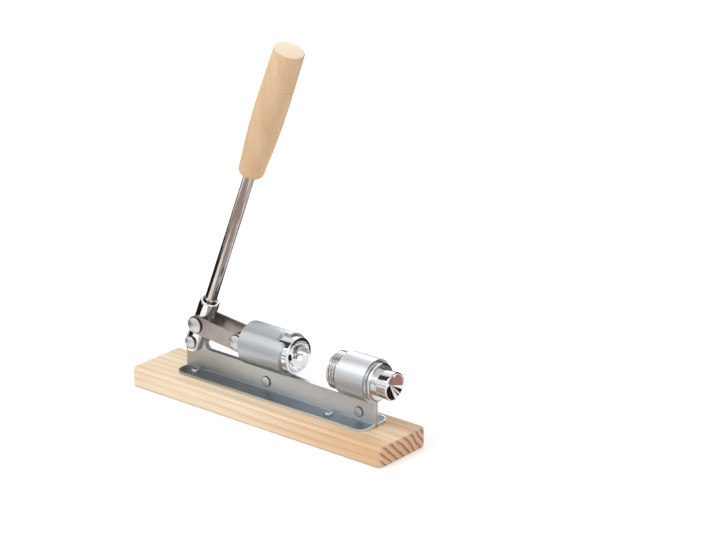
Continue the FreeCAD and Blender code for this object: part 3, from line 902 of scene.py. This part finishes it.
# Lever rod
# A bright drawn steel rod, pressed into the clevis below and the grip above.
rod_start = 0.0225
rod_end = 0.2134
rod_end_round = 0.0005
drawn_steel = polished_metal("drawn_steel", colour(204, 197, 193), colour(190, 182, 176), 0.14,
                             (60, 60, 8), 0.01)
rod_shape = on_lever(turned([(rod_start, 0, 0), (rod_start, rod_radius, rod_end_round),
                             (rod_end, rod_radius, rod_end_round), (rod_end, 0, 0)], 64))
rod = make_piece("drawn_rod", rod_shape, drawn_steel)
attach(rod, "lever")
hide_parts("lever_rod")


# Lever grip
# Beech turned on a lathe, swelling towards a flat top, sanded smooth and left bare. One
# scribed line runs round it near the top.
grip_start = 0.1534
grip_length = 0.1085
grip_radii = (0.0097, 0.0114, 0.0122, 0.0121, 0.0116)
grip_end_round = 0.0042
grip_edge = 0.0014
grip_line_below_top = 0.03
grip_line_half = 0.0004
grip_line_depth = 0.00035
grip_line_round = 0.0001
grip_line_margin = 0.001
grip_top_margin = 0.0025
grip_low_steps = 24
grip_high_steps = 6
steps_in_end_round = 3
grip_mouth_share = 0.98
grip_mouth_round = 0.9
end_tone_start = 0.0006
end_tone_full = 0.0002
beech_pale = colour(229, 197, 160)
beech_warm = colour(216, 178, 138)
beech_end = colour(244, 224, 200)
beech_fleck = colour(196, 146, 104)


def grip_radius(height):
    """Radius of the grip's side at a height above the pivot, smooth through its five sizes."""
    low = grip_start + grip_end_round
    last = len(grip_radii) - 1
    share = (height - low) / (grip_start + grip_length - grip_edge - low) * last
    index = min(max(int(share), 0), last - 1)
    part = share - index
    before = grip_radii[max(index - 1, 0)]
    first, second = grip_radii[index], grip_radii[index + 1]
    after = grip_radii[min(index + 2, last)]
    first_slope, second_slope = (second - before) / 2, (after - first) / 2
    return (first * (2 * part ** 3 - 3 * part ** 2 + 1)
            + first_slope * (part ** 3 - 2 * part ** 2 + part)
            + second * (3 * part ** 2 - 2 * part ** 3) + second_slope * (part ** 3 - part ** 2))


def evenly(first, last, steps):
    """Heights at even distances from the first to the last."""
    return [first + (last - first) * step / steps for step in range(steps + 1)]


grip_top = grip_start + grip_length
line = grip_top - grip_line_below_top
low_side = evenly(grip_start + grip_end_round, line - grip_line_margin, grip_low_steps)
high_side = evenly(line + grip_line_margin, grip_top - grip_top_margin, grip_high_steps)
grip_profile = [(grip_start, rod_radius, 0),
                (grip_start, grip_radii[0] * grip_mouth_share, grip_end_round * grip_mouth_round)]
grip_profile += [(height, grip_radius(height), 0) for height in low_side[steps_in_end_round:]]
grip_profile += [(line - grip_line_half, grip_radius(line), grip_line_round),
                 (line, grip_radius(line) - grip_line_depth, 0),
                 (line + grip_line_half, grip_radius(line), grip_line_round)]
grip_profile += [(height, grip_radius(height), 0) for height in high_side]
grip_profile += [(grip_top, grip_radii[-1], grip_edge), (grip_top, 0, 0)]

beech, tree, shader = new_material("turned_beech", 0.45)
shader.inputs["Specular IOR Level"].default_value = 0.4
lever_turn = (0, -lever_lean, 0)
long_space = grain_space(tree, (90, 90, 9), lever_turn)
fleck_space = grain_space(tree, (1400, 1400, 160), lever_turn)
streak = noise(tree, long_space, 1.0, 4.0)
fleck = noise(tree, fleck_space, 1.0, 2.0)
grip_tone = blend_colours(tree, spread(tree, streak, 0.3, 0.7), beech_pale, beech_warm)
lever_axis = Vector((math.sin(lever_lean), 0, math.cos(lever_lean)))
along_lever = add_node(tree, "ShaderNodeVectorMath", {0: object_coordinates(tree), 1: lever_axis},
                       operation="DOT_PRODUCT").outputs["Value"]
grip_end = pivot.dot(lever_axis) + grip_top
top_share = spread(tree, along_lever, grip_end - end_tone_start, grip_end - end_tone_full)
grip_tone = blend_colours(tree, top_share, grip_tone, beech_end)
tree.links.new(blend_colours(tree, spread(tree, fleck, 0.58, 0.72, 0, 0.45), grip_tone, beech_fleck),
               shader.inputs["Base Color"])
raise_bumps(tree, shader, fleck, 0.15, 0.0001)
grip = make_piece("beech_grip", on_lever(turned(grip_profile)), beech, 40)
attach(grip, "lever")
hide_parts("lever_grip")


# Link rivet
# The same domed pin, through both links and the clevis.
link_pin_piece = make_piece("link_pin", domed_pin("link_rivet", link_pin), polished_steel)
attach(link_pin_piece, "lever")
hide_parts("link_rivet")


# Links
# Two flat bars with round ends, blanked from satin nickel-plated strip, one on each side
# of the clevis and the ram's tail.
ram_pin_low, ram_pin_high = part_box("ram_rivet")
ram_pin = (ram_pin_low + ram_pin_high) / 2
link_half_width = 0.007
link_edge = 0.00018

satin_nickel = polished_metal("satin_nickel", colour(173, 163, 159), colour(163, 152, 146), 0.3,
                              relief=0.01)


def round_ended_bar(first, second, half_width, inner, outer):
    """Flat bar with round ends about two places, between two faces across the press."""
    shape = bmesh.new()
    bmesh.ops.create_circle(shape, cap_ends=True, radius=half_width, segments=64)
    upright = Matrix.Rotation(math.pi / 2, 3, "X")
    bmesh.ops.rotate(shape, cent=(0, 0, 0), matrix=upright, verts=shape.verts)
    run = (second - first).length
    for vert in shape.verts:
        if vert.co.x > cut_hair:
            vert.co.x += run
    slope = Matrix.Rotation(math.atan2(first.z - second.z, second.x - first.x), 3, "Y")
    bmesh.ops.rotate(shape, cent=(0, 0, 0), matrix=slope, verts=shape.verts)
    bmesh.ops.translate(shape, vec=(first.x, inner, first.z), verts=shape.verts)
    raised = bmesh.ops.extrude_face_region(shape, geom=shape.faces[:])["geom"]
    bmesh.ops.translate(shape, vec=(0, outer - inner, 0),
                        verts=[item for item in raised if isinstance(item, bmesh.types.BMVert)])
    bmesh.ops.recalc_face_normals(shape, faces=shape.faces)
    return shape


for node in ("link_left", "link_right"):
    low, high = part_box(node)
    shape = round_ended_bar(link_pin, ram_pin, link_half_width, low.y, high.y)
    link = make_piece(node + "_bar", shape, satin_nickel)
    round_edges(link, link_edge)
    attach(link, "links")
    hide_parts(node)


# Ram rivet
# The same domed pin, through both links and the ram's tail.
ram_pin_piece = make_piece("ram_pin", domed_pin("ram_rivet", ram_pin), polished_steel)
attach(ram_pin_piece, "links")
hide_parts("ram_rivet")


# Ram
# A chromed piston that slides in the rear sleeve. Its front is dished, and a flat tail
# behind it reaches back between the links.
ram_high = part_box("ram")[1]
ram_radius = 0.0144
ram_length = 0.037
ram_cup_radius = 0.0122
ram_cup_depth = 0.009
rim_edge = 0.0006
tail_half_height = 0.007
tail_half_width = 0.00745
cup_steps = 14


def cup_profile(rim_along, depth, way):
    """Points of a round dish from its middle to its rim."""
    ball = (ram_cup_radius ** 2 + depth ** 2) / (2 * depth)
    reach = math.asin(ram_cup_radius / ball)
    if depth > ball:
        reach = math.pi - reach
    centre = rim_along + way * (ball - depth)
    return [(centre - way * ball * math.cos(reach * step / cup_steps),
             ball * math.sin(reach * step / cup_steps), 0) for step in range(cup_steps + 1)]


piston = turned([(0, 0, 0), (0, ram_radius, rim_edge), (ram_length, ram_radius, rim_edge)]
                + cup_profile(ram_length, ram_cup_depth, 1)[::-1], 128)
piston_rear = Vector((ram_high.x - ram_length, middle_y, sleeve_axis.z))
piston = set_along(piston, Vector((1, 0, 0)), piston_rear)
tail = round_ended_bar(ram_pin, piston_rear, tail_half_height, middle_y - tail_half_width,
                       middle_y + tail_half_width)
ram = make_piece("chromed_ram", join(piston, tail), chrome)
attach(ram, "ram")
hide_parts("ram")


# Anvil barrel
# Turned steel with a coarse thread cut round it and a dished rear end. The thread runs in
# the front sleeve, so turning the barrel sets the gap to the ram.
barrel_low, barrel_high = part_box("anvil_barrel")
barrel_length = barrel_high.x - barrel_low.x
barrel_cup_depth = 0.008
barrel_rim_length = 0.0026
barrel_rim_chamfer = 0.001
thread_pitch = 0.0025
thread_depth = 0.0008
thread_crest = 0.0012
thread_start = -0.0019
thread_clear = 0.0003
thread_steps = 72
thread_overlap = 0.0002
root_radius = ram_radius - thread_depth
root_edge = 0.0003
rim_round = 0.0002
groove_edge = 0.0001
groove_depth = 0.0004
groove_rear = barrel_length - 0.0018
groove_middle = barrel_length - 0.0016
groove_front = barrel_length - 0.0014
groove_shade_grey = colour(112, 108, 106)
crest_fade = 0.0001
cup_fade = (0.0004, 0.0002)

rim_rear = barrel_length - barrel_rim_length
barrel = turned(cup_profile(0, barrel_cup_depth, -1)
                + [(0, root_radius, root_edge), (rim_rear, root_radius, 0),
                   (rim_rear, ram_radius, rim_round), (groove_rear, ram_radius, groove_edge),
                   (groove_middle, ram_radius - groove_depth, 0),
                   (groove_front, ram_radius, groove_edge),
                   (barrel_length - barrel_rim_chamfer, ram_radius, rim_round),
                   (barrel_length, ram_radius - barrel_rim_chamfer, rim_round),
                   (barrel_length, 0, 0)], 128)

# The thread is one ridge wound round the barrel, cut off flat at the barrel's dished end
thread_turns = int((rim_rear - thread_start) / thread_pitch) - 1
flank = (thread_pitch - thread_crest) / 2
ridge = [(0, root_radius - thread_overlap), (flank, ram_radius), (flank + thread_crest, ram_radius),
         (thread_pitch, root_radius - thread_overlap)]
thread = bmesh.new()
thread.faces.new([thread.verts.new((radius, 0, thread_start + along)) for along, radius in ridge])
bmesh.ops.spin(thread, geom=thread.verts[:] + thread.edges[:] + thread.faces[:], cent=(0, 0, 0),
               axis=(0, 0, 1), angle=2 * math.pi * thread_turns, steps=thread_steps * thread_turns,
               dvec=(0, 0, thread_pitch / thread_steps))
cut_through(thread, (0, 0, thread_clear), (0, 0, 1), True)
bmesh.ops.holes_fill(thread, edges=[edge for edge in thread.edges if edge.is_boundary])
bmesh.ops.recalc_face_normals(thread, faces=thread.faces)
barrel_rear = Vector((barrel_low.x, middle_y, sleeve_axis.z))
barrel_shape = set_along(join(barrel, thread), Vector((1, 0, 0)), barrel_rear)

# Painted shade: the grooves are painted darker than the crests, as shade in the thread's roots, and the
# cup inside them isn't
turned_steel = polished_metal("turned_steel", colour(228, 229, 231), colour(216, 215, 215), 0.24,
                              relief=0.01)
tree = turned_steel.node_tree
from_axis = distance_from(tree, barrel_rear, (0, 1, 1))
below_crest = spread(tree, from_axis, root_radius, ram_radius - crest_fade, 1.0, 0.0)
outside_cup = spread(tree, from_axis, root_radius - cup_fade[0], root_radius - cup_fade[1])
shade_over(turned_steel, calculate(tree, "MULTIPLY", below_crest, outside_cup), groove_shade_grey)
anvil = make_piece("threaded_barrel", barrel_shape, turned_steel)
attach(anvil, "anvil")
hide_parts("anvil_barrel")


# Adjuster stud
# A short steel pin inside the barrel and the knob, hidden once they are together.
stud = frame["nodes"]["adjuster_stud"]
stud.data.materials.clear()
stud.data.materials.append(zinc)


# Adjuster knob
# A short chromed stub, a little wider at its end, with a cone sunk into the end face.
knob_low, knob_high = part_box("adjuster_knob")
knob_length = knob_high.x - knob_low.x
knob_root = 0.0101
knob_end = 0.01085
knob_recess_mouth = 0.0095
knob_recess_depth = 0.0047
knob_edge = 0.0005
knob_recess_edge = 0.0003
# The cone ends in a tiny ring just above its point, so that its side is shaded evenly
knob_ring = 0.03

knob_shape = turned([(0, 0, 0), (0, knob_root, 0), (knob_length, knob_end, knob_edge),
                     (knob_length, knob_recess_mouth, knob_recess_edge),
                     (knob_length - knob_recess_depth * (1 - knob_ring), knob_recess_mouth * knob_ring, 0),
                     (knob_length - knob_recess_depth, 0, 0)], 128)
knob_rear = Vector((knob_low.x, middle_y, sleeve_axis.z))
knob = make_piece("chromed_knob", set_along(knob_shape, Vector((1, 0, 0)), knob_rear), chrome)
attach(knob, "anvil")
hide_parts("adjuster_knob")
